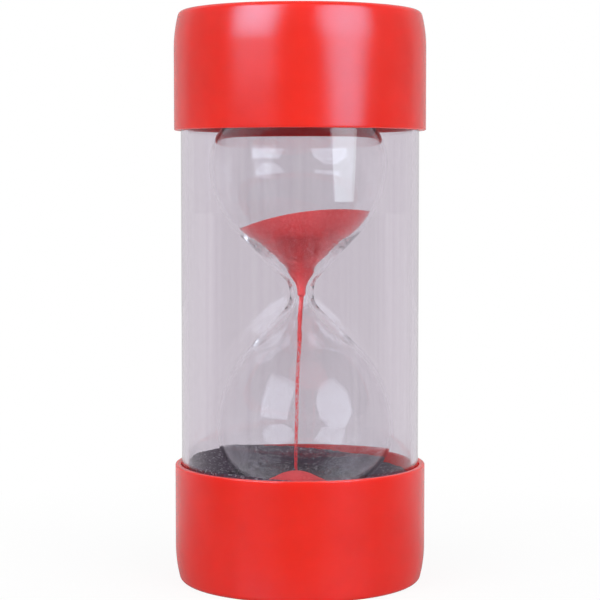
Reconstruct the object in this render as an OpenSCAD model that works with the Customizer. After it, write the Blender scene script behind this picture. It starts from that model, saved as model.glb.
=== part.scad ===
// Sand timer: a sealed two-bulb sand glass held between foam cushions inside a clear barrel,
// closed by two identical push-on end caps and shown while the sand runs.
// Millimetres, +Z up, origin at the centre of the bottom cap's end face, front towards -Y.

/* [Overall] */
// Height of the whole timer, from end face to end face
timer_h = 170; // [164:0.5:182]

/* [End caps] */
// Outside diameter of a cap
cap_d = 75; // [72:0.5:86]
// Height of a cap
cap_h = 35.2; // [30:0.2:42]
// Wall of a cap's skirt
cap_wall = 1.7; // [1.2:0.1:2.4]
// Thickness of a cap's end face
cap_end = 2.2; // [1.4:0.1:4]
// Distance from the end face to where the skirt starts to draw in
draw_h = 11; // [8:0.5:14]
// Radius of the long arc along which the skirt draws in
draw_r = 40; // [30:1:80]
// Radius of the corner round the end face
corner_r = 1.8; // [1:0.1:3]
// Radius of the rounded lip
lip_r = 0.4; // [0.2:0.1:0.6]
// Number of seat ribs inside a cap
rib_count = 8; // [4:1:12]
// Thickness of a seat rib
rib_t = 1.2; // [0.8:0.1:2]
// How far the ribs stand above the start of the draw-in, so the barrel ends in the straight skirt
rib_rise = 1; // [0.5:0.1:3]
// Outside diameter of the ring that ties the ribs together
hub_d = 26; // [18:0.5:34]
// Wall of that ring
hub_wall = 1.4; // [1:0.1:2.5]

/* [Barrel] */
// Wall of the clear barrel
barrel_wall = 1.8; // [1.2:0.1:2.6]
// Clearance between barrel and skirt
barrel_gap = 0.3; // [0.15:0.05:0.6]

/* [Sand glass] */
// Outside diameter of a bulb
bulb_d = 53.2; // [48:0.2:58]
// Height of the neck above the middle of the timer
neck_rise = 1.3; // [-2:0.1:3]
// Distance from the neck to the widest ring of the upper bulb
upper_reach = 38.9; // [34:0.1:42]
// Distance from the neck to the widest ring of the lower bulb
lower_reach = 41; // [36:0.1:44]
// Distance from a bulb's widest ring to its closed end
end_depth = 20.5; // [19:0.1:24]
// Radius of the arc next to the widest ring, on the side of the closed end
end_corner_r = 17; // [14:0.1:18.5]
// Outside diameter of the neck
neck_d = 7; // [6:0.1:9]
// Radius of the hollow outside the neck
neck_fillet = 7; // [5:0.1:9]
// Angle between the axis and the straight part of a shoulder's outside, in degrees
shoulder_slope = 44.5; // [41:0.5:48]
// The same for its inside, which is flatter because the wall thickens towards the neck
funnel_slope = 50; // [47:0.5:53]
// Wall of a bulb at its widest ring
glass_wall = 1; // [0.8:0.1:1.4]
// Diameter of the bore that times the sand
bore_d = 2; // [1.6:0.1:2.6]
// Length of the bore's straight part
bore_len = 1.2; // [0.8:0.1:3]
// Radius of the flare at each mouth of the bore
bore_flare = 8.9; // [7.5:0.1:10.5]
// Radius of the sealed filling pip on the upper bulb
pip_r = 2; // [1:0.1:3]
// Height of that pip
pip_h = 2; // [1:0.1:3]
// Lean of the glass in its cushions, in degrees, upper bulb to the left
glass_lean = 1.5; // [0:0.1:2.5]
// Sideways place of the neck
glass_shift = 0.5; // [-1:0.1:1.5]

/* [Foam cushions] */
// How far the lower cushion's edge stands up past the bulb's closed end
foam_wrap = 9.2; // [6:0.1:14]
// How far the upper cushion's edge hangs down past the bulb's closed end
upper_wrap = 6; // [4:0.1:12]
// Radius of the seat that the bulb's end has pressed into a cushion
foam_seat_r = 12; // [8:0.5:15]
// Tilt of the lower cushion's dished face, in degrees
foam_tilt = 2.6; // [0:0.1:3.5]
// Direction in which that face falls, in degrees from +X towards +Y
foam_fall = 15; // [0:5:90]
// Clearance of a cushion from the barrel and the glass
foam_gap = 0.3; // [0.2:0.05:0.6]

/* [Sand] */
// Height of the upper sand's crest above the neck
sand_rise = 24.6; // [16:0.1:28]
// Sideways place of that crest
crest_x = 15; // [0:0.5:18]
// Radius of the upper sand's rounded surface
sand_top_r = 104; // [80:1:140]
// Fall of the upper sand's surface towards the back, in degrees
sand_fall = 3.5; // [0:0.1:5]
// Diameter of the crater over the bore
crater_d = 18; // [10:0.5:24]
// Slope of the crater's side, in degrees
crater_slope = 28; // [20:1:34]
// Height of the pile's top above the inside of the lower bulb's end
pile_h = 6.5; // [4:0.1:12]
// Sideways place of the pile's top
pile_x = -1.2; // [-2:0.1:2]
// Slope of the pile's side, in degrees
pile_slope = 30; // [16:1:32]
// Radius of the pile's rounded top
pile_round = 11; // [4:0.5:16]
// Diameter of the stream where it leaves the bore
stream_top_d = 1.5; // [1:0.1:1.6]
// Diameter of the stream where it meets the pile
stream_foot_d = 1; // [0.6:0.1:1.4]
// Clearance between the sand and the glass
sand_gap = 0.1; // [0.05:0.05:0.2]
// Clearance at each end of the stream
grain_gap = 0.1; // [0.05:0.05:0.2]

/* [Hidden] */
$fn = 128;
// Facets of a full circle on the widest arcs
fine_fn = 240;

cap_red = [0.93, 0.19, 0.13];
barrel_clear = [0.82, 0.79, 0.84, 0.35];
glass_clear = [0.9, 0.93, 0.94, 0.4];
foam_grey = [0.27, 0.24, 0.28];
sand_red = [0.82, 0.2, 0.2];

// Overrun of a cutting shape past the surface that it cuts
over = 1;

// Caps: radius, depth of the draw-in at the end face, and the seat that the ribs make
cap_r = cap_d / 2;
draw_in = draw_r - sqrt(draw_r ^ 2 - draw_h ^ 2);
seat_z = draw_h + rib_rise;

// Centre of the corner arc, which touches the end face and the draw-in arc, and the
// height at which the two arcs meet
corner_x = cap_r - draw_r + sqrt((draw_r - corner_r) ^ 2 - (draw_h - corner_r) ^ 2);
corner_top = draw_h - draw_r * (draw_h - corner_r) / (draw_r - corner_r);

// Barrel, which stands on the seats of both caps inside their skirts
barrel_r = cap_r - cap_wall - barrel_gap;
barrel_bore_r = barrel_r - barrel_wall;

// Glass: its neck's height, half its straight bore, and the way that its axis leans, as [x, z]
bulb_r = bulb_d / 2;
neck_r = neck_d / 2;
neck_z = timer_h / 2 + neck_rise;
half_bore = bore_len / 2;
lean_up = [-sin(glass_lean), cos(glass_lean)];

// Highest point of the upper bulb's dome and lowest point of the lower one's, as [x, z]
bulb_dome = dome_r(bulb_r, end_depth, end_corner_r);
upper_end = [glass_shift, neck_z + bulb_dome] + (upper_reach + end_depth - bulb_dome) * lean_up;
lower_end = [glass_shift, neck_z - bulb_dome] - (lower_reach + end_depth - bulb_dome) * lean_up;

// Cushions: radius, and the height of the pressed seat's edge above the bulb's end
foam_r = barrel_bore_r - foam_gap;
seat_edge = bulb_dome - sqrt((bulb_dome + foam_gap) ^ 2 - foam_seat_r ^ 2);

// Pile: height of its top, and the point where its rounded top runs into its slope
pile_top_z = lower_end[1] + glass_wall + pile_h;
pile_blend_r = pile_round * sin(pile_slope);
pile_blend_z = pile_top_z - pile_round * (1 - cos(pile_slope));

// Stream: its two ends
stream_top = [glass_shift, neck_z - grain_gap] - half_bore * lean_up;
stream_foot = [pile_x, pile_top_z + grain_gap];

// Radius of the arc from a bulb's widest ring to the straight part that runs into the neck's hollow
function shoulder_r(wide, neck, hollow, slope, reach) =
    (reach * sin(slope) - (wide - neck - hollow) * cos(slope) - hollow) / (1 - cos(slope));

// Radius of the dome that closes a bulb, tangent to the arc next to its widest ring
function dome_r(wide, depth, corner) =
    ((wide - corner) ^ 2 + depth ^ 2 - corner ^ 2) / (2 * (depth - corner));

// Area from the axis out to a cap's skirt, set in by inset
module skirt_outline(inset, top) {
    difference() {
        square([cap_r - inset, top]);
        difference() {
            translate([cap_r - inset - draw_in - over, -over])
                square([draw_in + 2 * over, draw_h + over]);
            translate([cap_r - draw_r, draw_h]) circle(draw_r - inset);
        }
    }
}

// Waste outside a quarter round of radius r that ends at the corner [x, y]
module round_waste(x, y, r, side) {
    difference() {
        translate([side > 0 ? x - r : x - over, y - r]) square(r + over);
        translate([x - side * r, y - r]) circle(r);
    }
}

module cap_outline() {
    difference() {
        skirt_outline(0, cap_h);
        difference() {
            translate([corner_x, -over]) square([cap_r, corner_top + over]);
            translate([corner_x, corner_r]) circle(corner_r);
        }
        round_waste(cap_r, cap_h, lip_r, 1);
    }
}

module pocket_outline() {
    intersection() {
        skirt_outline(cap_wall, cap_h + over);
        translate([0, cap_end]) square([cap_r, cap_h]);
    }
    round_waste(cap_r - cap_wall, cap_h, lip_r, -1);
}

// Ribs and their ring, up to the seat for the barrel and the cushion
module seat_ribs() {
    for (i = [0 : rib_count - 1])
        rotate(i * 360 / rib_count)
            translate([hub_d / 2 - hub_wall, -rib_t / 2, 0]) cube([cap_r, rib_t, seat_z]);
    difference() {
        cylinder(h = seat_z, d = hub_d);
        translate([0, 0, -over]) cylinder(h = seat_z + 2 * over, d = hub_d - 2 * hub_wall);
    }
}

module end_cap() {
    difference() {
        rotate_extrude() cap_outline();
        difference() {
            rotate_extrude() pocket_outline();
            seat_ribs();
        }
    }
}

// Turns a piece of the bottom end over to the top end
module at_top() {
    translate([0, 0, timer_h]) rotate([180, 0, 0]) children();
}

module bottom_cap() {
    color(cap_red) end_cap();
}

module top_cap() {
    color(cap_red) at_top() end_cap();
}

module barrel() {
    barrel_h = timer_h - 2 * seat_z;
    color(barrel_clear)
        translate([0, 0, seat_z])
            difference() {
                cylinder(h = barrel_h, r = barrel_r);
                translate([0, 0, -over]) cylinder(h = barrel_h + 2 * over, r = barrel_bore_r);
            }
}

// Area from the axis to a bulb's surface, from a straight stem below y = 0 to the closed end.
// What lies outside the stem, the neck's hollow, the straight part, the shoulder, the corner arc and
// the dome is cut away.
module bulb_outline(wide, neck, hollow, slope, reach, depth, corner, stem) {
    shoulder = shoulder_r(wide, neck, hollow, slope, reach);
    dome = dome_r(wide, depth, corner);
    hollow_x = neck + hollow * (1 - cos(slope));
    hollow_y = hollow * sin(slope);
    shoulder_x = wide - shoulder * (1 - cos(slope));
    shoulder_y = reach - shoulder * sin(slope);
    outer_x = wide + over;
    dome_y = reach + depth - dome;
    corner_y = dome_y + (reach - dome_y) * dome / (dome - corner);
    difference() {
        translate([0, -stem]) square([wide, stem + reach + depth]);
        translate([neck, -stem - over]) square([wide, stem + over]);
        translate([hollow_x, -over]) square([wide, hollow_y + over]);
        translate([neck + hollow, 0]) circle(hollow);
        polygon([[hollow_x, hollow_y], [shoulder_x, shoulder_y], [outer_x, shoulder_y],
            [outer_x, hollow_y]]);
        difference() {
            translate([max(wide - shoulder, 0), shoulder_y]) square([outer_x, reach - shoulder_y]);
            translate([wide - shoulder, reach]) circle(shoulder);
        }
        difference() {
            translate([wide - corner, reach]) square([corner + over, corner_y - reach]);
            translate([wide - corner, reach]) circle(corner);
        }
        difference() {
            translate([0, corner_y]) square([outer_x, reach + depth + over - corner_y]);
            translate([0, dome_y]) circle(dome);
        }
    }
}

// Solid of one bulb's outside, moved out by grow
module bulb_outside(reach, grow) {
    rotate_extrude()
        bulb_outline(bulb_r + grow, neck_r + grow, neck_fillet - grow, shoulder_slope, reach,
            end_depth + grow, end_corner_r + grow, 0);
}

// Solid of one bulb's inside, set in by inset, with a length of the straight bore under it
module bulb_inside(reach, inset, bore) {
    wall = glass_wall + inset;
    translate([0, 0, half_bore])
        rotate_extrude()
            bulb_outline(bulb_r - wall, bore_d / 2 - inset, bore_flare + inset, funnel_slope,
                reach - half_bore, end_depth - wall, end_corner_r - wall, bore);
}

// Solid of the whole glass's outside with its filling pip, moved out by grow
module glass_outside(grow) {
    bulb_outside(upper_reach, grow);
    mirror([0, 0, 1]) bulb_outside(lower_reach, grow);
    translate([0, 0, upper_reach + end_depth + pip_h - pip_r]) sphere(pip_r + grow);
}

// Frame of the leaning glass, with its neck at the origin
module in_glass() {
    translate([glass_shift, 0, neck_z]) rotate([0, -glass_lean, 0]) children();
}

module sand_glass() {
    color(glass_clear)
        in_glass()
            difference() {
                glass_outside(0);
                bulb_inside(upper_reach, 0, half_bore);
                mirror([0, 0, 1]) bulb_inside(lower_reach, 0, half_bore);
            }
}

// Cushion of the bottom end: a foam disc on the seat, dished by the bulb's end that is pressed into it
module foam_disc(end_x, end_z, wrap, tilt) {
    dish_rate = (wrap - seat_edge) / (foam_r - foam_seat_r);
    edge_z = end_z + wrap + dish_rate * abs(end_x) + foam_r * sin(tilt);
    dish_h = wrap + dish_rate * foam_r;
    difference() {
        translate([0, 0, seat_z]) cylinder(h = edge_z - seat_z, r = foam_r);
        translate([end_x, 0, end_z + seat_edge])
            rotate([-tilt * sin(foam_fall), tilt * cos(foam_fall), 0])
                cylinder(h = dish_h, r1 = foam_seat_r, r2 = foam_seat_r + dish_h / dish_rate);
    }
}

module lower_foam() {
    color(foam_grey)
        difference() {
            foam_disc(lower_end[0], lower_end[1], foam_wrap, foam_tilt);
            in_glass() glass_outside(foam_gap);
        }
}

module upper_foam() {
    color(foam_grey)
        difference() {
            at_top() foam_disc(upper_end[0], timer_h - upper_end[1], upper_wrap, 0);
            in_glass() glass_outside(foam_gap);
        }
}

// Sand that still lies in the upper bulb and fills the bore; its seam is turned away from the crest
module upper_sand() {
    crest_z = neck_z + sand_rise;
    color(sand_red)
        difference() {
            intersection() {
                in_glass() rotate(180) bulb_inside(upper_reach, sand_gap, bore_len);
                translate([crest_x, 0, crest_z])
                    rotate([90 - sand_fall, 0, 0])
                        translate([0, -sand_top_r, 0])
                            cylinder(h = 2 * bulb_d, r = sand_top_r, center = true, $fn = fine_fn);
            }
            translate([glass_shift, 0, crest_z - crater_d / 2 * tan(crater_slope)])
                cylinder(h = crater_d * tan(crater_slope), r1 = 0, r2 = crater_d);
        }
}

// Sand falling from the bore to the pile
module sand_stream() {
    run = stream_top - stream_foot;
    color(sand_red)
        translate([stream_foot[0], 0, stream_foot[1]])
            rotate([0, atan2(run[0], run[1]), 0])
                cylinder(h = norm(run), d1 = stream_foot_d, d2 = stream_top_d);
}

// Area under the pile's surface: a round top that runs into a straight slope
module pile_outline() {
    foot_z = lower_end[1];
    foot_r = pile_blend_r + (pile_blend_z - foot_z) / tan(pile_slope);
    polygon([[0, foot_z], [foot_r, foot_z], [pile_blend_r, pile_blend_z], [0, pile_blend_z]]);
    intersection() {
        translate([0, pile_blend_z]) square([pile_round, pile_round]);
        translate([0, pile_top_z - pile_round]) circle(pile_round);
    }
}

// Sand that has run through, piled in the lower bulb's end
module lower_sand() {
    color(sand_red)
        intersection() {
            in_glass() mirror([0, 0, 1]) bulb_inside(lower_reach, sand_gap, half_bore);
            translate([pile_x, 0, 0]) rotate_extrude() pile_outline();
        }
}

top_cap();
bottom_cap();
barrel();
sand_glass();
upper_foam();
lower_foam();
upper_sand();
sand_stream();
lower_sand();
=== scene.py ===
"""Sand timer: red end caps, a clear barrel, and a two-bulb glass of sand between foam cushions."""
import math

import bpy
from bpy.props import FloatProperty, FloatVectorProperty, IntProperty, PointerProperty
from bpy.types import Operator, Panel, PropertyGroup
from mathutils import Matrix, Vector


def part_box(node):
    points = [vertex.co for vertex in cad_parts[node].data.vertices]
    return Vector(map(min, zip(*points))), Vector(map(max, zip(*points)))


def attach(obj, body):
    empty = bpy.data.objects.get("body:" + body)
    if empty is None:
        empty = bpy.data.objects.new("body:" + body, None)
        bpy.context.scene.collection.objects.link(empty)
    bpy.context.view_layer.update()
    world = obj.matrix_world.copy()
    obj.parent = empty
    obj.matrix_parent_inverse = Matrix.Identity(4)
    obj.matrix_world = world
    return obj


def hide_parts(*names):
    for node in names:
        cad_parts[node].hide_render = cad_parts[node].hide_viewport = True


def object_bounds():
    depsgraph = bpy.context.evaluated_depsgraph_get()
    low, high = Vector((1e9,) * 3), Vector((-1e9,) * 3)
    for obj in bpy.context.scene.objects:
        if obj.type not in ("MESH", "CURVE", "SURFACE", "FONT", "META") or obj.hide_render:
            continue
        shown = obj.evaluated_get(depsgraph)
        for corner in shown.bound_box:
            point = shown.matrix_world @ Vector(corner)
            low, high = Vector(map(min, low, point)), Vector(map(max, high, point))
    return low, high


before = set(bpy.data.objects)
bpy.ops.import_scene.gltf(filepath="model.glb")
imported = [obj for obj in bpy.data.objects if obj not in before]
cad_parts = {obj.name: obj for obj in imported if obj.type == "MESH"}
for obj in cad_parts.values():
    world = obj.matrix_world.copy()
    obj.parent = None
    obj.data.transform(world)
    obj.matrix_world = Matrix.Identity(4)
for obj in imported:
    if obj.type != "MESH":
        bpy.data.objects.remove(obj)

bl_info = {
    "name": "Sand timer",
    "version": (1, 0, 0),
    "blender": (4, 5, 0),
    "location": "View3D > Sidebar > Sand timer",
    "description": "Models a sand timer's caps, barrel, glass, cushions and sand, and its stage",
    "category": "Add Mesh",
}

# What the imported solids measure, in metres
CAD_BOX = [list(corner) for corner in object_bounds()]
CAP_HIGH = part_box("bottom_cap")[1]
BARREL_LOW, BARREL_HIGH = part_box("barrel")
TIMER_HEIGHT = CAD_BOX[1][2]

# Millimetres to metres, the body that every piece rides on, and how close points are welded
MM = 0.001
BODY = "root"
WELD = 1e-7
FULL_TURN = 2 * math.pi

# Vertex group that limits a modifier to part of a piece
WEIGHTS = "weights"

# Sockets of a Mix node that mixes colours
MIX_FACTOR, MIX_FIRST, MIX_SECOND, MIX_RESULT = 0, 6, 7, 2

# Scale of coordinates that leaves out the height
LEVEL = (1, 1, 0)

# Colour of the softboxes' light, where even white is 1
LAMP_COLOUR = (0.85, 1, 1.05)

# Limits for light in clear walls: how many times it passes on, and how bright one sample of it is
BOUNCES = 40
BRIGHTEST = 3


def length(name, description, millimetres):
    """A length that the user can change, given in millimetres and kept in metres."""
    return FloatProperty(
        name=name, description=description, default=millimetres * MM, unit="LENGTH"
    )


def colour(name, description, value):
    """A colour that the user can change, in linear light."""
    return FloatVectorProperty(
        name=name, description=description, default=value, subtype="COLOR", min=0, max=1
    )


def angle(name, description, degrees):
    """An angle that the user can change, given in degrees."""
    return FloatProperty(
        name=name, description=description, default=math.radians(degrees), subtype="ANGLE"
    )


def number(name, description, value):
    """A plain number that the user can change."""
    return FloatProperty(name=name, description=description, default=value)


class CapSettings(PropertyGroup):
    """Sizes and colour of the end caps."""

    radius: length("Radius", "Outside radius of a cap", CAP_HIGH.x / MM)
    height: length("Height", "Height of a cap", CAP_HIGH.z / MM)
    wall: length("Wall", "Wall of the skirt", 1.7)
    end_wall: length("End wall", "Thickness of the end face", 2.2)
    draw_height: length("Draw height", "Distance from the end face to where the skirt draws in", 11)
    draw_radius: length("Draw radius", "Radius of the arc along which the skirt draws in", 40)
    corner_radius: length("Corner radius", "Radius of the corner round the end face", 1.8)
    lip_radius: length("Lip radius", "Radius of the rounded lip", 0.4)
    rib_thickness: length("Rib thickness", "Thickness of a seat rib", 1.2)
    ring_radius: length("Ring radius", "Outside radius of the ring between the ribs", 13)
    ring_wall: length("Ring wall", "Wall of the ring between the ribs", 1.4)
    ribs: IntProperty(name="Ribs", description="Number of seat ribs inside a cap", default=8)
    red: colour("Red", "Colour of the moulded plastic", (0.80, 0.026, 0.014))


class BarrelSettings(PropertyGroup):
    """Sizes and tint of the clear barrel."""

    radius: length("Radius", "Outside radius of the barrel", BARREL_HIGH.x / MM)
    wall: length("Wall", "Wall of the barrel", 1.8)
    edge: length("Edge", "Width of the broken edges", 0.2)
    tint: colour("Tint", "What the outer skins of both walls let through", (0.608, 0.55, 0.62))


class GlassSettings(PropertyGroup):
    """Sizes and tint of the sand glass."""

    bulb_radius: length("Bulb radius", "Outside radius of a bulb", 26.6)
    neck_height: length("Neck height", "Height of the neck above the table", 86.3)
    upper_reach: length("Upper reach", "From the neck to the upper bulb's widest ring", 38.9)
    lower_reach: length("Lower reach", "From the neck to the lower bulb's widest ring", 41)
    end_depth: length("End depth", "From a widest ring to the closed end", 20.5)
    end_corner: length("End corner", "Radius of the arc next to the widest ring", 17)
    neck_radius: length("Neck radius", "Outside radius of the neck", 3.5)
    neck_hollow: length("Neck hollow", "Radius of the hollow outside the neck", 7)
    slope: angle("Slope", "Angle of a shoulder's straight outside to the axis", 44.5)
    funnel_slope: angle("Funnel slope", "The same inside, as the wall thickens to the neck", 50)
    wall: length("Wall", "Wall of a bulb at its widest ring", 1)
    bore_radius: length("Bore radius", "Radius of the bore", 1.5)
    bore_half: length("Half bore", "Half the length of the straight bore", 0.2)
    bore_flare: length("Bore flare", "Radius of the flare at the bore's mouths", 10.7)
    pip_radius: length("Pip radius", "Radius of the sealed filling pip", 2)
    shift: length("Shift", "Sideways place of the neck", 0.5)
    lean: angle("Lean", "Lean of the glass, upper bulb to the left", 1.5)
    ripple: length("Ripple", "Depth of the ripples that the flame left round the neck", 0.1)
    ripple_size: length("Ripple size", "Width of one ripple", 5)
    ripple_reach: number("Ripple reach", "Share of the upper reach that is rippled", 0.37)
    tint: colour("Tint", "What one wall lets through", (0.978, 0.978, 0.981))


class FoamSettings(PropertyGroup):
    """Surface and colour of the foam cushions."""

    face: length("Face size", "Size of one face of the foam's surface", 0.7)
    unevenness: length("Unevenness", "Depth of the dents in the foam", 0.5)
    dent: length("Dent size", "Width of one dent", 4)
    rise: length("Rise", "How far the lower cushion's rim has come up where it stands highest", 1.5)
    rise_turn: angle("Rise turn", "Direction of that place, from +X towards +Y", 125)
    rise_start: number("Rise start", "Share of the radius from which the cushion comes up", 0.42)
    rise_least: number("Least rise", "Share of the rise that the rim has all round", 0.33)
    # Painted shade: within this radius the foam under a bulb is coloured darker
    dish_radius: length("Dish radius", "Radius in which a bulb presses the pores shut", 22.5)
    fill: number("Fill", "How full the foam is, from slack to tight", 0.9)
    grey: colour("Grey", "Colour of the foam", (0.064, 0.047, 0.066))


class SandSettings(PropertyGroup):
    """Grains and colour of the sand."""

    grain: length("Grain", "Size of one grain", 0.28)
    roughness: length("Surface roughness", "Depth by which grains stand out of the surface", 0.16)
    face: length("Face size", "Size of one face of the heaped sand", 0.38)
    stream_face: length("Stream face size", "Size of one face of the falling sand", 0.16)
    swell: length("Swell", "How far the grains in the bore press outwards", 0.5)
    swell_height: length("Swell height", "How far above the neck they still do", 5)
    # Painted shade: the front of the sand above the neck is coloured darker in a disc round this
    # middle
    core: FloatVectorProperty(
        name="Core",
        description="Middle of the darker, closely packed grains",
        default=(-0.4 * MM, -12 * MM, 101.2 * MM),
        subtype="TRANSLATION",
    )
    core_radius: length("Core radius", "How far the darker grains reach", 6.4)
    wander: length("Wander", "How far the falling sand strays to the left on its way", 0.5)
    gap_tone: number("Gap tone", "Tone above which a falling grain leaves a gap, from 0 to 1", 0.44)
    red: colour("Red", "Colour of most grains", (0.95, 0.085, 0.09))
    pale: colour("Pale", "Colour of the palest grains", (1.0, 0.22, 0.2))
    dark: colour("Dark", "Colour of the darkest grains", (0.78, 0.045, 0.05))


class StageSettings(PropertyGroup):
    """Camera, floor and lamps."""

    camera_distance: length("Camera distance", "From the timer's axis to the camera", 562.7)
    camera_height: length("Camera height", "Height of the camera above the table", 120.6)
    camera_pitch: angle("Camera pitch", "How far the camera looks down", 3.705)
    lens: FloatProperty(
        name="Lens", description="Focal length", default=112.75, subtype="DISTANCE_CAMERA"
    )
    floor_radius: length("Floor radius", "Radius of the round floor", 6000)
    lamp_distance: length("Lamp distance", "From the timer's axis to each softbox", 900)
    left_width: length("Left lamp width", "Width of the left softbox", 725)
    right_width: length("Right lamp width", "Width of the right softbox", 820)
    lamp_turn: angle("Lamp turn", "Angle of each softbox to the side of the camera", 42)
    left_height: length("Left lamp height", "Height of the left softbox's middle", 595)
    right_height: length("Right lamp height", "Height of the right softbox's middle", 477)
    edge_glow: number("Edge glow", "Brightness of a softbox at its edges; white paper is 1", 4.6)
    middle_glow: number("Middle glow", "Brightness of a softbox in its middle", 7.5)
    balance: number("Balance", "Share that the left softbox gains and the right one loses", 0.12)
    lamp_power: FloatProperty(
        name="Lamp power", description="Power of each softbox's lamp", default=6.3, unit="POWER"
    )
    sky_glow: number("Sky glow", "Brightness of the room as it lights the timer", 0.48)
    floor_glow: number("Floor glow", "How brightly the floor lights what is in the barrel", 2.1)
    front_glow: number("Front glow", "Brightness of the front as clear walls mirror it", 0.35)
    dim_glow: number("Dim glow", "Brightness of the room's front in the timer's gloss", 0.05)
    shadow: number("Shadow", "Share of its white that the floor loses at the timer", 0.1)
    backdrop_glow: number("Backdrop glow", "Brightness of the backdrop in the timer's gloss", 0.6)
    backdrop_width: length("Backdrop width", "Width of the backdrop", 3600)
    backdrop_distance: length("Backdrop distance", "From the timer's axis to the backdrop", 1100)
    backdrop_height: length("Backdrop height", "Height of the backdrop's middle", 1200)


class TimerSettings(PropertyGroup):
    """All that the user can change."""

    cap: PointerProperty(type=CapSettings)
    barrel: PointerProperty(type=BarrelSettings)
    glass: PointerProperty(type=GlassSettings)
    foam: PointerProperty(type=FoamSettings)
    sand: PointerProperty(type=SandSettings)
    stage: PointerProperty(type=StageSettings)


class Shade:
    """A shader socket that takes part in Python expressions and can add nodes to its tree."""

    def __init__(self, tree, socket=None):
        self.tree = tree
        self.socket = socket

    def node(self, kind, settings=None, inputs=None, output=0):
        """Adds a node with these settings, fills its sockets, and wraps one of its outputs."""
        made = self.tree.nodes.new("ShaderNode" + kind)
        for name, value in (settings or {}).items():
            setattr(made, name, value)
        for name, value in (inputs or {}).items():
            self.fill(made.inputs[name], value)
        return Shade(self.tree, made.outputs[output])

    def fill(self, socket, value):
        """Links another wrapped socket to this one, or sets its plain value."""
        if isinstance(value, Shade):
            self.tree.links.new(value.socket, socket)
        elif hasattr(value, "__len__"):
            size = len(socket.default_value)
            socket.default_value = (*value, 1)[:size]
        else:
            socket.default_value = value

    def math(self, operation, first, second):
        """A Math node on two values."""
        return self.node("Math", {"operation": operation}, {0: first, 1: second})

    def __add__(self, other):
        return self.math("ADD", self, other)

    __radd__ = __add__

    def __sub__(self, other):
        return self.math("SUBTRACT", self, other)

    def __rsub__(self, other):
        return self.math("SUBTRACT", other, self)

    def __mul__(self, other):
        return self.math("MULTIPLY", self, other)

    __rmul__ = __mul__

    def above(self, limit):
        """1 where the value is over the limit, and 0 elsewhere."""
        return self.math("GREATER_THAN", self, limit)

    def or_else(self, other):
        """The larger of two values."""
        return self.math("MAXIMUM", self, other)

    def spread(self, low, high):
        """The value stretched so that low becomes 0 and high becomes 1, and held between them."""
        names = {"Value": self, "From Min": low, "From Max": high}
        return self.node("MapRange", {"clamp": True}, names)

    def mix(self, first, second):
        """The first colour where this value is 0, and the second where it is 1."""
        inputs = {MIX_FACTOR: self, MIX_FIRST: first, MIX_SECOND: second}
        return self.node("Mix", {"data_type": "RGBA"}, inputs, MIX_RESULT)

    def place(self, scale=(1, 1, 1)):
        """The piece's own coordinates, in metres times scale."""
        spot = self.node("TexCoord", output="Object")
        return self.node("Mapping", None, {"Vector": spot, "Scale": scale})

    def distance(self, spot=(0, 0, 0), scale=(1, 1, 1)):
        """Distance from a spot, in metres times scale."""
        ends = {0: self.place(scale), 1: spot}
        return self.node("VectorMath", {"operation": "DISTANCE"}, ends, "Value")

    def along(self, coordinates, axis, start, end):
        """0 at the start and 1 at the end of a way along an axis of these coordinates."""
        spot = {0: self.node("TexCoord", output=coordinates)}
        return self.node("SeparateXYZ", None, spot, axis).spread(start, end)

    def is_ray(self, kind):
        """1 for rays of this kind, and 0 for the others."""
        return self.node("LightPath", output="Is " + kind + " Ray")

    def has_been(self, kind):
        """1 for rays that have met a surface of this kind on their way, and 0 for the others."""
        return self.node("LightPath", output=kind + " Depth").above(0.5)

    def noise(self, size, detail, scale=(1, 1, 1)):
        """Soft noise whose blotches are about this wide, in metres."""
        inputs = {"Vector": self.place(scale), "Scale": 1 / size, "Detail": detail}
        return self.node("TexNoise", None, inputs)

    def cells(self, size, output):
        """Cells about this wide, in metres: their Distance from the middle, or a Color each."""
        inputs = {"Vector": self.place(), "Scale": 1 / size}
        return self.node("TexVoronoi", None, inputs, output)

    def bump(self, height, depth, strength=1.0):
        """A normal for a surface whose height, from 0 to 1, stands for this depth in metres."""
        inputs = {"Height": height, "Distance": depth, "Strength": strength}
        return self.node("Bump", None, inputs)


def new_material(name, plain, fed):
    """A material with one Principled shader: its even sockets, and the ones fed from nodes."""
    material = bpy.data.materials.new(name)
    material.use_nodes = True
    shade = Shade(material.node_tree)
    shader = material.node_tree.nodes["Principled BSDF"]
    for socket, value in {**plain, **fed(shade)}.items():
        shade.fill(shader.inputs[socket], value)
    return material


def let_lamps_through(material, passed):
    """Lets light from lamps reach what is behind a clear wall, tinted by what each face passes."""
    shade = Shade(material.node_tree)
    nodes = material.node_tree.nodes
    glass = Shade(material.node_tree, nodes["Principled BSDF"].outputs[0])
    clear = shade.node("BsdfTransparent", None, {"Color": passed})
    both = shade.node("MixShader", None, {0: shade.is_ray("Shadow"), 1: glass, 2: clear})
    shade.fill(nodes["Material Output"].inputs["Surface"], both)


def cap_plastic(cap):
    """Moulded red plastic: a soft gloss, a faint unevenness in colour and the finest pebbling."""

    def fed(shade):
        cloud = shade.noise(14 * MM, detail=3)
        pebble = shade.noise(0.35 * MM, detail=2)
        red = cap.red
        deep = [0.9 * part for part in red]
        return {
            "Base Color": cloud.spread(0.3, 0.7).mix(deep, red),
            "Roughness": 0.17 + 0.1 * cloud,
            "Normal": shade.bump(pebble, 0.012 * MM),
        }

    plain = {
        "IOR": 1.5,
        "Specular IOR Level": 0.66,
        "Specular Tint": (0.2, 0.76, 1),
        "Subsurface Weight": 1,
        "Subsurface Radius": (1, 0.25, 0.2),
        "Subsurface Scale": 6 * MM,
    }
    return new_material("cap_plastic", plain, fed)


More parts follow.
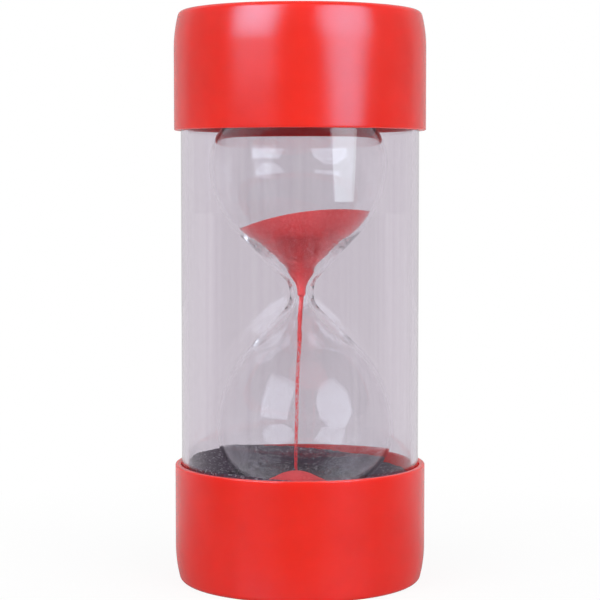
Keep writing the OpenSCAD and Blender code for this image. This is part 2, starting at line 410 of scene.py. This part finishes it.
def barrel_plastic(barrel):
    """Clear extruded tube: drawn-out lines along its length and a faint film of handling."""

    def fed(shade):
        lines = shade.noise(2.2 * MM, detail=2, scale=(1, 1, 0.004))
        film = shade.noise(18 * MM, detail=3)
        tint = barrel.tint
        pale = [part ** 0.87 for part in tint]
        skin = lines.spread(0.35, 0.65).mix(tint, pale)
        outside = shade.distance(scale=LEVEL).above(barrel.radius - barrel.wall / 2)
        return {
            "Base Color": outside.mix((0.99, 0.99, 0.99), skin),
            "Roughness": 0.02 * film.spread(0.4, 0.9),
            "Normal": shade.bump(lines, 0.01 * MM),
        }

    plain = {"Transmission Weight": 1.0, "IOR": 1.49}
    material = new_material("barrel_plastic", plain, fed)
    let_lamps_through(material, passed=(0.97, 0.965, 0.97))
    return material


def bulb_glass(glass):
    """Blown glass: clear, with slow waves in the surface."""

    def fed(shade):
        waves = shade.noise(9 * MM, detail=1)
        film = shade.noise(6 * MM, detail=3)
        tint = glass.tint
        pale = [part ** 0.5 for part in tint]
        return {
            "Base Color": waves.spread(0.3, 0.7).mix(tint, pale),
            "Roughness": 0.004 * film.spread(0.45, 0.9),
            "Normal": shade.bump(waves, 0.012 * MM),
        }

    plain = {"Transmission Weight": 1.0, "IOR": 1.5}
    material = new_material("bulb_glass", plain, fed)
    let_lamps_through(material, passed=(0.985, 0.985, 0.985))
    return material


def cushion_foam(foam):
    """Open-cell foam: dark pores between paler walls, pale flecks, and painted shade under a bulb.
    """

    def fed(shade):
        pores = shade.cells(0.7 * MM, "Distance")
        fleck = shade.cells(0.45 * MM, "Color").spread(0.77, 0.83)
        cloud = shade.noise(7 * MM, detail=3)
        grey = foam.grey
        # The first of these tones is painted shade for the foam under a bulb; the others are the
        # foam's own
        shaded, pore, dust = ([share * part for part in grey] for share in (0.3, 0.45, 1.5))
        pale = [0.2 + part for part in grey]
        walls = pores.spread(0.15, 0.6).mix(pore, grey)
        dusty = (0.5 * cloud.spread(0.35, 0.75)).mix(walls, dust)
        # Painted shade: the foam is coloured darker inside the dish radius, under a bulb
        outside = shade.distance(scale=LEVEL).spread(0.95 * foam.dish_radius, foam.dish_radius)
        shaded_foam = (0.8 * (1 - outside)).mix(dusty, shaded)
        return {
            "Base Color": fleck.mix(shaded_foam, pale),
            "Roughness": 0.85 + 0.15 * pores,
            "Normal": shade.bump(pores, 0.25 * MM),
        }

    return new_material("cushion_foam", {"Specular IOR Level": 0.2}, fed)


def dyed_sand(name, sand, thinning=None):
    """Dyed grains, each its own shade of red, darker in a disc of painted shade; between the two
    heights of thinning, gaps open up.
    """

    def fed(shade):
        tone = shade.cells(sand.grain, "Color")
        round_top = shade.cells(sand.grain, "Distance")
        ruddy = tone.spread(0.0, 0.5).mix(sand.dark, sand.red)
        grains = tone.spread(0.6, 1.0).mix(ruddy, sand.pale)
        # Painted shade: a darker disc on the front of the heaped sand, round the core
        reach = sand.core_radius
        painted_shade = 1 - shade.distance(sand.core).spread(0.8 * reach, 1.1 * reach)
        sockets = {
            "Base Color": (0.28 * painted_shade).mix(grains, [0.6 * part for part in sand.dark]),
            "Roughness": 0.65 + 0.3 * tone,
            "Normal": shade.bump(1 - round_top, 0.2 * MM, strength=0.6),
        }
        if thinning:
            gaps = shade.along("Object", "Z", *thinning) * tone.above(sand.gap_tone)
            sockets["Alpha"] = 1 - gaps
        return sockets

    return new_material(name, {"Specular IOR Level": 0.35}, fed)


def arc(centre, radius, start, end, steps):
    """Points (r, z) along an arc round a centre, between two angles in radians from +r."""
    turns = [start + (end - start) * step / steps for step in range(steps + 1)]
    return [(centre[0] + radius * math.cos(t), centre[1] + radius * math.sin(t)) for t in turns]


def run(start, end, steps):
    """Points (r, z) along a straight line, without its start."""
    shares = [step / steps for step in range(1, steps + 1)]
    return [tuple(a + (b - a) * share for a, b in zip(start, end)) for share in shares]


def only(piece):
    """Selects this piece alone and makes it the active one."""
    bpy.ops.object.select_all(action="DESELECT")
    piece.select_set(True)
    bpy.context.view_layer.objects.active = piece


def edit(piece, *steps):
    """Runs steps in edit mode with everything in the piece selected."""
    only(piece)
    bpy.ops.object.mode_set(mode="EDIT")
    bpy.ops.mesh.select_all(action="SELECT")
    for step in steps:
        step()
    bpy.ops.object.mode_set(mode="OBJECT")


def weld():
    """Joins points that lie on each other and turns all faces outwards."""
    bpy.ops.mesh.remove_doubles(threshold=WELD)
    bpy.ops.mesh.normals_make_consistent(inside=False)


def name_piece(piece, name):
    """Names an object and its mesh alike."""
    piece.name = name
    piece.data.name = name


def lathe(name, profile, steps):
    """A shape spun round the Z axis from (r, z) points, drawn by extruding one point."""
    bpy.ops.object.select_all(action="DESELECT")
    bpy.ops.mesh.primitive_plane_add(size=MM, location=(0, 0, 0))
    piece = bpy.context.object
    name_piece(piece, name)
    bpy.ops.object.mode_set(mode="EDIT")
    bpy.ops.mesh.merge(type="CENTER")
    bpy.ops.transform.translate(value=(profile[0][0], 0, profile[0][1]))
    for (r, z), (next_r, next_z) in zip(profile, profile[1:]):
        step = {"value": (next_r - r, 0, next_z - z)}
        bpy.ops.mesh.extrude_vertices_move(TRANSFORM_OT_translate=step)
    bpy.ops.object.mode_set(mode="OBJECT")

    def spin():
        bpy.ops.mesh.spin(steps=steps, angle=FULL_TURN, center=(0, 0, 0), axis=(0, 0, 1))
        bpy.ops.mesh.select_all(action="SELECT")

    edit(piece, spin, weld)
    return piece


def apply_modifier(piece, kind, **settings):
    """Adds a modifier to the piece, sets it up and applies it."""
    only(piece)
    modifier = piece.modifiers.new(kind.lower(), kind)
    for setting, value in settings.items():
        setattr(modifier, setting, value)
    bpy.ops.object.modifier_apply(modifier=modifier.name)


def push(piece, strength, share=None, **settings):
    """Moves the surface by strength, or by the share of it, from 0 to 1, that a spot gets."""
    if share:
        group = piece.vertex_groups.new(name=WEIGHTS)
        for point in piece.data.vertices:
            group.add([point.index], share(point.co), "REPLACE")
        settings["vertex_group"] = WEIGHTS
    apply_modifier(piece, "DISPLACE", strength=strength, **settings)
    piece.vertex_groups.clear()


def roughen(piece, size, depth, level=0.5, share=None):
    """Moves the surface by this depth in lumps of this size; level is the share that goes in."""
    lumps = bpy.data.textures.new(piece.name + "_lumps", "CLOUDS")
    lumps.noise_scale = size
    push(piece, depth, share, texture=lumps, texture_coords="LOCAL", mid_level=level)
    bpy.data.textures.remove(lumps)


def smooth(piece, limit):
    """Shades the piece smooth, apart from edges sharper than this many degrees."""
    only(piece)
    bpy.ops.object.shade_smooth_by_angle(angle=math.radians(limit))


def finish_piece(piece, node, material):
    """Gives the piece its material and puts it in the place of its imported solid."""
    piece.data.materials.clear()
    piece.data.materials.append(material)
    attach(piece, BODY)
    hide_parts(node)


def soft_copy(name, node, face):
    """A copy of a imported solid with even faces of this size, to start a soft or grainy piece."""
    piece = bpy.data.objects.new(name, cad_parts[node].data.copy())
    bpy.context.scene.collection.objects.link(piece)
    piece.data.name = name
    edit(piece, weld)
    apply_modifier(piece, "REMESH", mode="VOXEL", voxel_size=face)
    return piece


def cap_profile(cap):
    """A cap's wall from the middle of its end, up the outside, over the lip and down the inside."""
    draw_centre = (cap.radius - cap.draw_radius, cap.draw_height)
    drop = cap.draw_height - cap.corner_radius
    across = math.sqrt((cap.draw_radius - cap.corner_radius) ** 2 - drop ** 2)
    corner_centre = (draw_centre[0] + across, cap.corner_radius)
    meet = -math.atan2(drop, across)
    lip_z = cap.height - cap.lip_radius
    inner = cap.radius - cap.wall
    inner_draw = cap.draw_radius - cap.wall
    floor_turn = -math.asin((cap.draw_height - cap.end_wall) / inner_draw)
    quarter = math.pi / 2
    hold_z = lip_z - cap.lip_radius / 2
    return [
        (0, 0),
        (corner_centre[0] - cap.corner_radius / 4, 0),
        *arc(corner_centre, cap.corner_radius, -quarter, meet, steps=12),
        *arc(draw_centre, cap.draw_radius, meet, 0, steps=16)[1:],
        (cap.radius, hold_z),
        *arc((cap.radius - cap.lip_radius, lip_z), cap.lip_radius, 0, quarter, steps=6),
        *arc((inner + cap.lip_radius, lip_z), cap.lip_radius, quarter, 2 * quarter, steps=6),
        (inner, hold_z),
        *arc(draw_centre, inner_draw, 0, floor_turn, steps=12),
        (0, cap.end_wall),
    ]


def add_seat_ribs(piece, cap, seat):
    """Joins the seat ribs and their ring to a cap's inside, each sunk half into its walls."""
    foot = cap.end_wall / 2
    ring = (cap.ring_radius - cap.ring_wall, cap.ring_radius)
    outline = [(ring[0], foot), (ring[1], foot), (ring[1], seat), (ring[0], seat), (ring[0], foot)]
    apply_union(piece, lathe("seat_ring", outline, steps=64))
    inner_end = ring[0] + cap.ring_wall / 2
    outer_end = cap.radius - 0.75 * cap.wall
    middle = ((inner_end + outer_end) / 2, 0, (foot + seat) / 2)
    size = (outer_end - inner_end, cap.rib_thickness, seat - foot)
    for rib in range(cap.ribs):
        bpy.ops.object.select_all(action="DESELECT")
        bpy.ops.mesh.primitive_cube_add(size=1, location=(0, 0, 0))
        bar = bpy.context.object
        turn = FULL_TURN * rib / cap.ribs

        def shape():
            bpy.ops.transform.resize(value=size)
            bpy.ops.transform.translate(value=middle)
            bpy.ops.transform.rotate(value=turn, orient_axis="Z", center_override=(0, 0, 0))

        edit(bar, shape)
        apply_union(piece, bar)


def apply_union(piece, other):
    """Joins another solid to the piece as one closed skin, and removes it."""
    apply_modifier(piece, "BOOLEAN", operation="UNION", object=other, solver="EXACT")
    bpy.data.objects.remove(other)


class SANDTIMER_OT_end_caps(Operator):
    """Spins the bottom cap from its outline, adds its seat ribs and turns a copy over to the top"""

    bl_idname = "sand_timer.end_caps"
    bl_label = "End caps"

    def execute(self, context):
        cap = context.scene.sand_timer.cap
        material = cap_plastic(cap)
        bottom = lathe("end_cap_bottom", cap_profile(cap), steps=192)
        add_seat_ribs(bottom, cap, BARREL_LOW.z)
        smooth(bottom, limit=35)
        only(bottom)
        bpy.ops.object.duplicate()
        top = context.object
        name_piece(top, "end_cap_top")
        half_way = (0, 0, TIMER_HEIGHT / 2)

        def turn_over():
            bpy.ops.transform.rotate(value=math.pi, orient_axis="X", center_override=half_way)

        edit(top, turn_over)
        finish_piece(bottom, "bottom_cap", material)
        finish_piece(top, "top_cap", material)
        return {"FINISHED"}


class SANDTIMER_OT_barrel(Operator):
    """Makes the clear barrel from an open tube with a wall and broken edges"""

    bl_idname = "sand_timer.barrel"
    bl_label = "Barrel"

    def execute(self, context):
        barrel = context.scene.sand_timer.barrel
        bpy.ops.object.select_all(action="DESELECT")
        bpy.ops.mesh.primitive_cylinder_add(
            vertices=256,
            radius=barrel.radius,
            depth=BARREL_HIGH.z - BARREL_LOW.z,
            end_fill_type="NOTHING",
        )
        piece = context.object
        name_piece(piece, "clear_barrel")
        middle = (0, 0, (BARREL_HIGH.z + BARREL_LOW.z) / 2)
        edit(piece, lambda: bpy.ops.transform.translate(value=middle), weld)
        apply_modifier(piece, "SOLIDIFY", thickness=barrel.wall, offset=-1, use_even_offset=True)
        apply_modifier(piece, "BEVEL", width=barrel.edge, segments=2, limit_method="ANGLE")
        smooth(piece, limit=20)
        finish_piece(piece, "barrel", barrel_plastic(barrel))
        return {"FINISHED"}


def bulb_profile(wide, neck, hollow, slope, reach, depth, corner):
    """Half a bulb's outline, from the neck to its closed end: arcs, with a straight run between."""
    across = (wide - neck - hollow) * math.cos(slope)
    shoulder = (reach * math.sin(slope) - across - hollow) / (1 - math.cos(slope))
    dome = ((wide - corner) ** 2 + depth ** 2 - corner ** 2) / (2 * (depth - corner))
    dome_z = reach + depth - dome
    leave_corner = math.atan2(reach - dome_z, wide - corner)
    leave_neck = arc((neck + hollow, 0), hollow, math.pi, math.pi - slope, steps=16)
    to_ring = arc((wide - shoulder, reach), shoulder, -slope, 0, steps=24)
    return [
        *leave_neck,
        *run(leave_neck[-1], to_ring[0], steps=20),
        *to_ring[1:],
        *arc((wide - corner, reach), corner, 0, leave_corner, steps=14)[1:],
        *arc((0, dome_z), dome, leave_corner, math.pi / 2, steps=14)[1:],
    ]


def both_bulbs(upper, lower, half_bore):
    """The outline of two bulbs from the upper closed end, through the neck, to the lower one."""
    above = [(r, z + half_bore) for r, z in reversed(upper)]
    below = [(r, -z - half_bore) for r, z in lower]
    return above + below if half_bore else above + below[1:]


def glass_outlines(glass):
    """The outlines of the glass's outside and of the hollow inside it, in the frame of its neck."""
    outer, inner = (
        [
            bulb_profile(
                glass.bulb_radius - wall, neck, hollow, slope, reach - bore, glass.end_depth - wall,
                glass.end_corner - wall,
            )
            for reach in (glass.upper_reach, glass.lower_reach)
        ]
        for wall, neck, hollow, slope, bore in (
            (0, glass.neck_radius, glass.neck_hollow, glass.slope, 0),
            (glass.wall, glass.bore_radius, glass.bore_flare, glass.funnel_slope, glass.bore_half),
        )
    )
    return both_bulbs(*outer, 0), both_bulbs(*inner, glass.bore_half)


def with_pip(outline, glass):
    """The outside's outline with the sealed filling pip on its upper end."""
    end = outline[0][1]
    pip = arc((0, end), glass.pip_radius, math.pi / 2, 0, steps=8)
    return pip + [(r, z) for r, z in outline if r > glass.pip_radius or z < 0]


class SANDTIMER_OT_sand_glass(Operator):
    """Spins the two-bulb glass skin by skin, ripples it round the neck and leans it into place"""

    bl_idname = "sand_timer.sand_glass"
    bl_label = "Sand glass"

    def execute(self, context):
        glass = context.scene.sand_timer.glass
        outside, hollow = glass_outlines(glass)
        piece = lathe("sand_glass_bulbs", with_pip(outside, glass), steps=160)
        inside = lathe("sand_glass_hollow", hollow, steps=160)
        edit(inside, bpy.ops.mesh.flip_normals)
        only(piece)
        inside.select_set(True)
        bpy.ops.object.join()
        self.ripple(piece, glass)
        neck = (glass.shift, 0, glass.neck_height)

        def lean():
            bpy.ops.transform.rotate(value=glass.lean, orient_axis="Y", center_override=(0, 0, 0))
            bpy.ops.transform.translate(value=neck)

        edit(piece, lean)
        smooth(piece, limit=60)
        finish_piece(piece, "sand_glass", bulb_glass(glass))
        return {"FINISHED"}

    def ripple(self, piece, glass):
        """Ripples both skins on the bulbs' shoulders, fading out at the neck and further up."""
        nearest, furthest = glass.neck_radius, glass.ripple_reach * glass.upper_reach

        def waist(spot):
            way = (abs(spot.z) - nearest) / (furthest - nearest)
            return math.sin(math.pi * way) if 0 < way < 1 else 0

        roughen(piece, glass.ripple_size, glass.ripple, share=waist)


class SANDTIMER_OT_cushions(Operator):
    """Makes the two foam cushions, dented by the bulbs that are pressed into them"""

    bl_idname = "sand_timer.cushions"
    bl_label = "Foam cushions"

    def execute(self, context):
        foam = context.scene.sand_timer.foam
        material = cushion_foam(foam)
        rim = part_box("lower_foam")[1].x

        def crumple(spot):
            """Share of the rise at a spot, which is most at the rim in the direction rise_turn."""
            outward = (math.hypot(spot.x, spot.y) / rim - foam.rise_start) / (1 - foam.rise_start)
            towards = math.cos(math.atan2(spot.y, spot.x) - foam.rise_turn)
            round_rim = foam.rise_least + (1 - foam.rise_least) * max(towards, 0) ** 2
            return max(outward, 0) * round_rim

        for name, node in (
            ("foam_cushion_upper", "upper_foam"),
            ("foam_cushion_lower", "lower_foam"),
        ):
            piece = soft_copy(name, node, foam.face)
            if node == "lower_foam":
                push(piece, foam.rise, crumple, direction="Z", mid_level=0)
            roughen(piece, foam.dent, foam.unevenness)
            smooth(piece, limit=180)
            finish_piece(piece, node, material)
        return {"FINISHED"}


class SANDTIMER_OT_sand(Operator):
    """Makes the sand: what is left above, the falling stream and the pile below"""

    bl_idname = "sand_timer.sand"
    bl_label = "Sand"

    def execute(self, context):
        sand = context.scene.sand_timer.sand
        heaped = dyed_sand("dyed_sand", sand)
        bottom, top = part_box("sand_stream")
        falling = dyed_sand("falling_sand", sand, thinning=(0.9 * top.z, 0.8 * top.z))
        for name, node, face, material in (
            ("sand_above", "upper_sand", sand.face, heaped),
            ("sand_falling", "sand_stream", sand.stream_face, falling),
            ("sand_pile", "lower_sand", sand.face, heaped),
        ):
            piece = soft_copy(name, node, face)
            if node == "upper_sand":
                push(piece, sand.swell, self.in_bore(context.scene.sand_timer), mid_level=0)
            if node == "sand_stream":
                push(piece, -sand.wander, self.stray(bottom, top), direction="X", mid_level=0)
            roughen(piece, 2 * sand.grain, sand.roughness, level=0.9)
            smooth(piece, limit=180)
            finish_piece(piece, node, material)
        return {"FINISHED"}

    def in_bore(self, timer):
        """1 in the bore and a little above it, from where the share fades out."""
        top = timer.glass.neck_height + timer.sand.swell_height
        fade = 0.8 * timer.sand.swell_height
        return lambda spot: min(max(1 - (spot.z - top) / fade, 0), 1)

    def stray(self, low, high):
        """How far the falling sand has strayed at a spot: most of all half-way down."""

        def share(spot):
            way = math.pi * min(max((high.z - spot.z) / (high.z - low.z), 0), 1)
            bow = abs(math.sin(way)) ** 0.6
            waver = 0.15 * math.sin(5 * way)
            return bow * (0.85 + waver)

        return share


def stage_material(name):
    """A material with no shader yet, its maker of nodes, and the socket of its surface."""
    material = bpy.data.materials.new(name)
    material.use_nodes = True
    nodes = material.node_tree.nodes
    nodes.remove(nodes["Principled BSDF"])
    return material, Shade(material.node_tree), nodes["Material Output"].inputs["Surface"]


def add_stage_panel(name, width, place, facing, corners):
    """A flat panel with this many corners and one edge down, facing a direction (pitch, turn)."""
    bpy.ops.object.select_all(action="DESELECT")
    reach = width / 2 / math.cos(math.pi / corners)
    bpy.ops.mesh.primitive_circle_add(vertices=corners, radius=reach, fill_type="NGON")
    panel = bpy.context.object
    name_piece(panel, name)

    def edge_down():
        turn = math.pi / corners
        bpy.ops.transform.rotate(value=turn, orient_axis="Z", center_override=(0, 0, 0))

    edit(panel, edge_down)
    panel.location = place
    panel.rotation_euler = (math.pi / 2 - facing[0], 0, facing[1])
    return panel


def hide_from(thing, *kinds):
    """Keeps a panel or lamp out of sight of these kinds of ray."""
    for kind in kinds:
        setattr(thing, "visible_" + kind, False)


def sees_white(shade, back):
    """1 for rays that find the stage white: all but clear walls' reflections of the front."""
    mirrored = shade.has_been("Glossy") * (1 - shade.has_been("Diffuse"))
    through = shade.is_ray("Transmission") * back.or_else(1 - mirrored)
    return shade.is_ray("Camera").or_else(through)


class SANDTIMER_OT_stage(Operator):
    """Sets up the white floor and room, the two softboxes, the backdrop, and the camera"""

    bl_idname = "sand_timer.stage"
    bl_label = "Stage"

    def execute(self, context):
        stage = context.scene.sand_timer.stage
        self.floor(stage)
        self.room(context.scene, stage)
        self.softbox(stage, "left", stage.left_width, stage.left_height, side=-1, corners=4)
        self.softbox(stage, "right", stage.right_width, stage.right_height, side=1, corners=8)
        self.backdrop(stage)
        self.camera(context.scene, stage)
        context.scene.view_settings.view_transform = "Standard"
        cycles = context.scene.cycles
        cycles.max_bounces = cycles.transmission_bounces = cycles.glossy_bounces = BOUNCES
        cycles.transparent_max_bounces = BOUNCES
        cycles.sample_clamp_indirect = BRIGHTEST
        return {"FINISHED"}

    def floor(self, stage):
        """A white floor with a soft shadow at the timer; its front is dim in gloss and glass."""
        bpy.ops.object.select_all(action="DESELECT")
        bpy.ops.mesh.primitive_circle_add(
            vertices=96, radius=stage.floor_radius, fill_type="TRIFAN"
        )
        floor = bpy.context.object
        name_piece(floor, "white_floor")
        material, shade, surface = stage_material("white_floor")
        paper = shade.node("BsdfDiffuse", None, {"Color": (0.85, 0.85, 0.85)})
        sheen = shade.node("BsdfGlossy", None, {"Color": (0.12, 0.12, 0.12), "Roughness": 0.35})
        back = shade.along("Object", "Y", start=-90 * MM, end=90 * MM)
        in_gloss = stage.backdrop_glow * back
        in_glass = shade.is_ray("Transmission") * (stage.front_glow - in_gloss)
        pale = shade.node("Emission", None, {"Strength": in_gloss + in_glass})
        gloss = shade.node("AddShader", None, {0: sheen, 1: pale})
        lit = shade.node("MixShader", None, {0: shade.is_ray("Glossy"), 1: paper, 2: gloss})
        near = 1 - shade.distance().spread(1.2 * CAP_HIGH.x, 5 * CAP_HIGH.x)
        white = sees_white(shade, back) * (1 - stage.shadow * near)
        lights = 1 + (stage.floor_glow - 1) * shade.has_been("Diffuse")
        glow = shade.node("Emission", None, {"Strength": lights})
        both = shade.node("MixShader", None, {0: white, 1: lit, 2: glow})
        shade.fill(surface, both)
        floor.data.materials.append(material)

    def room(self, scene, stage):
        """A white room that lights the timer; its front is dim in the timer's gloss and glass."""
        scene.world = scene.world or bpy.data.worlds.new("room")
        scene.world.use_nodes = True
        shade = Shade(scene.world.node_tree)
        nodes = scene.world.node_tree.nodes
        clear = shade.is_ray("Transmission")
        back = shade.along("Generated", "Y", start=-0.8, end=0.4)
        gloss = shade.is_ray("Glossy") * (1 - clear)
        in_gloss = stage.dim_glow + 0.5 * stage.backdrop_glow * back
        lights = stage.sky_glow + (in_gloss - stage.sky_glow) * gloss
        lights += (stage.front_glow - stage.sky_glow) * clear
        strength = lights + sees_white(shade, back) * (1 - lights)
        light = shade.node("Background", None, {"Color": (1, 1, 1), "Strength": strength})
        shade.fill(nodes["World Output"].inputs["Surface"], light)

    def softbox(self, stage, hand, width, height, side, corners):
        """A panel with a bright middle for gloss and glass, and a lamp there for the rest."""
        name = "softbox_" + hand
        tilt = math.atan2(height - TIMER_HEIGHT / 2, stage.lamp_distance)
        place = (
            side * stage.lamp_distance * math.sin(stage.lamp_turn),
            -stage.lamp_distance * math.cos(stage.lamp_turn),
            height,
        )
        panel = add_stage_panel(name, width, place, (tilt, side * stage.lamp_turn), corners)
        material, shade, surface = stage_material(name)
        middle = 1 - shade.distance().spread(0.1 * width, 0.5 * width)
        glows = [glow * (1 - side * stage.balance) for glow in (stage.edge_glow, stage.middle_glow)]
        colours = [[glow * part for part in LAMP_COLOUR] for glow in glows]
        glow = shade.node("Emission", None, {"Color": middle.mix(*colours)})
        shade.fill(surface, glow)
        panel.data.materials.append(material)
        hide_from(panel, "camera", "diffuse", "shadow")
        bpy.ops.object.light_add(type="AREA", location=place, rotation=panel.rotation_euler)
        lamp = bpy.context.object
        lamp.name = name + "_lamp"
        lamp.data.size = width
        lamp.data.energy = stage.lamp_power
        hide_from(lamp, "camera", "glossy", "transmission")

    def backdrop(self, stage):
        """A pale backdrop behind the timer, which its gloss sees and which lights it."""
        place = (0, stage.backdrop_distance, stage.backdrop_height)
        panel = add_stage_panel("backdrop", stage.backdrop_width, place, facing=(0, 0), corners=4)
        material, shade, surface = stage_material("backdrop")
        shade.fill(surface, shade.node("Emission", None, {"Strength": stage.backdrop_glow}))
        panel.data.materials.append(material)
        hide_from(panel, "camera", "transmission", "shadow")

    def camera(self, scene, stage):
        """The camera at the photograph's place and angle."""
        bpy.ops.object.camera_add(
            location=(0, -stage.camera_distance, stage.camera_height),
            rotation=(math.pi / 2 - stage.camera_pitch, 0, 0),
        )
        scene.camera = bpy.context.object
        scene.camera.data.lens = stage.lens


STEPS = (
    SANDTIMER_OT_stage,
    SANDTIMER_OT_end_caps,
    SANDTIMER_OT_barrel,
    SANDTIMER_OT_sand_glass,
    SANDTIMER_OT_cushions,
    SANDTIMER_OT_sand,
)


class SANDTIMER_PT_sidebar(Panel):
    """Lists the steps and the sizes and colours that they use"""

    bl_label = "Sand timer"
    bl_space_type = "VIEW_3D"
    bl_region_type = "UI"
    bl_category = "Sand timer"

    def draw(self, context):
        settings = context.scene.sand_timer
        for step in STEPS:
            self.layout.operator(step.bl_idname)
        for group in TimerSettings.__annotations__:
            box = self.layout.box()
            box.label(text=group.capitalize())
            for name in getattr(settings, group).__annotations__:
                box.prop(getattr(settings, group), name)


SETTINGS = (CapSettings, BarrelSettings, GlassSettings, FoamSettings, SandSettings, StageSettings)
CLASSES = (*SETTINGS, TimerSettings, *STEPS, SANDTIMER_PT_sidebar)


def register():
    """Makes the settings, the steps and the sidebar known to Blender."""
    for cls in CLASSES:
        bpy.utils.register_class(cls)
    bpy.types.Scene.sand_timer = PointerProperty(type=TimerSettings)


def unregister():
    """Takes away what register() added."""
    del bpy.types.Scene.sand_timer
    for cls in reversed(CLASSES):
        bpy.utils.unregister_class(cls)


def main():
    """Runs every step."""
    register()
    for step in STEPS:
        getattr(bpy.ops.sand_timer, step.bl_idname.split(".")[1])()


if __name__ == "__main__":
    main()
